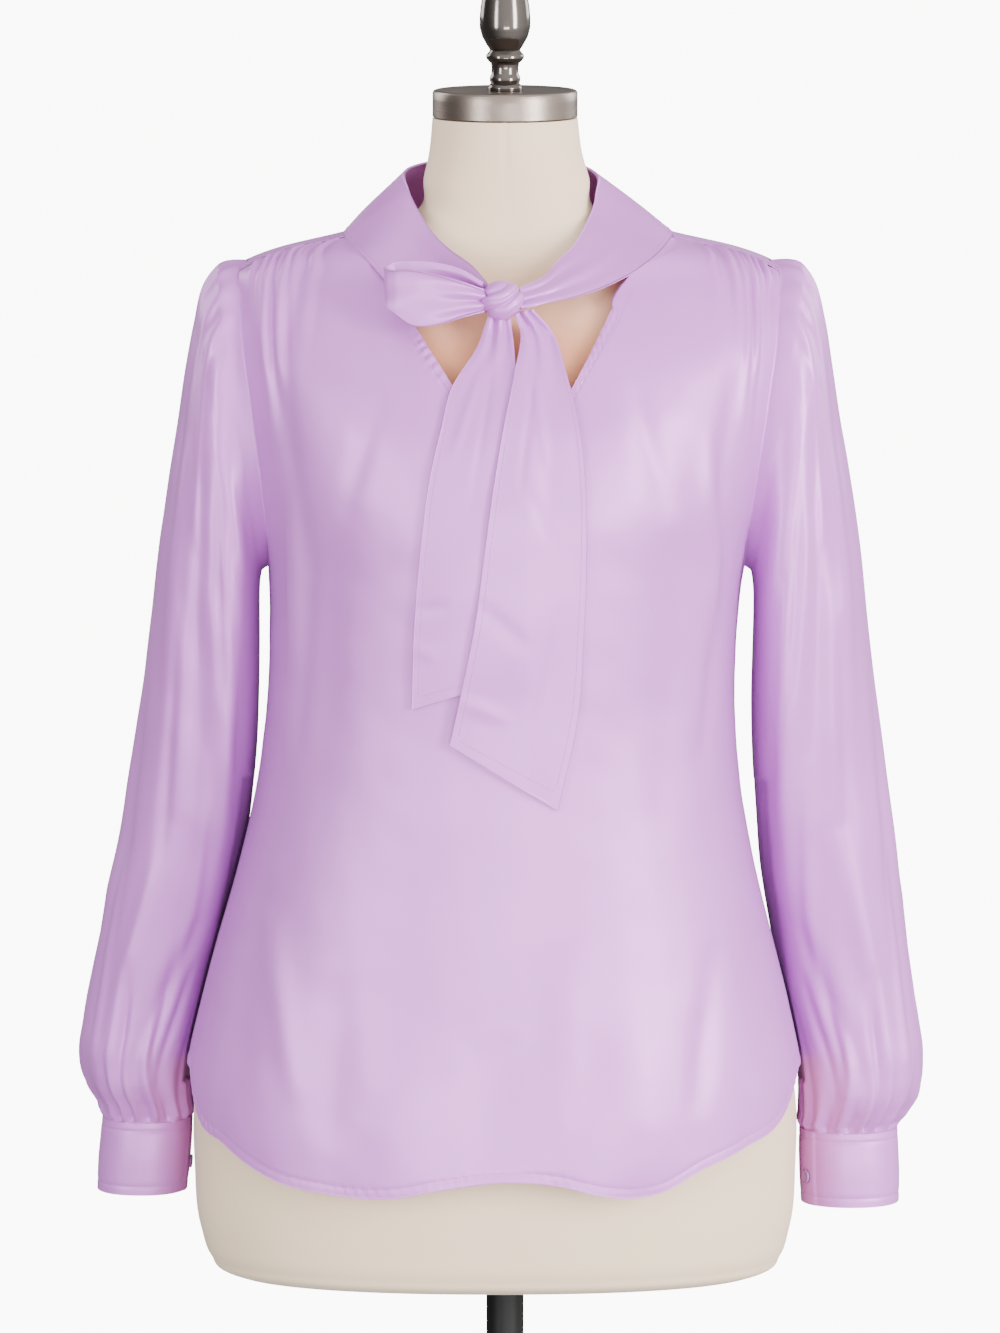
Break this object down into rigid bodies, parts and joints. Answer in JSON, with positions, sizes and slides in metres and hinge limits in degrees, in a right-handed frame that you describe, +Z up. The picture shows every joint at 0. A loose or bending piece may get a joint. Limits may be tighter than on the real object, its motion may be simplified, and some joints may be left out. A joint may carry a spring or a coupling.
{
  "type": "tie neck blouse on limbless dress form",
  "caption": "Long-sleeved satin blouse with a bow-tied neck, slit neckline, shoulder gathers and deep buttoned cuffs, worn on a limbless dress form with a pole and round base.",
  "frame": {"origin": "on the floor at the centre of the round base's underside, under the pole's axis", "axes": "+Z up along the pole, -Y the way the blouse's front faces, +X to the right of a viewer in front of it"},
  "size_m": [0.6148, 0.3788, 1.5645],
  "materials": {
    "lilac_satin": "satin weave, soft sheen",
    "button_lilac": "glossy",
    "form_cloth": "matt jersey",
    "brushed_steel": "brushed",
    "polished_nickel": "polished",
    "black_steel": "satin black"
  },
  "bodies": {
    "root": {"front": "lilac_satin", "back": "lilac_satin", "yoke": "lilac_satin", "collar": "lilac_satin", "tie_loop": "lilac_satin", "tie_knot": "lilac_satin", "tie_tail_short": "lilac_satin", "tie_tail_long": "lilac_satin", "sleeve_left": "lilac_satin", "sleeve_right": "lilac_satin", "cuff_left": "lilac_satin", "cuff_right": "lilac_satin", "cuff_button_left": "button_lilac", "cuff_button_right": "button_lilac", "form_torso": "form_cloth", "neck_cap": "brushed_steel", "finial": "polished_nickel", "pole": "black_steel", "base": "black_steel"}
  },
  "joints": []
}
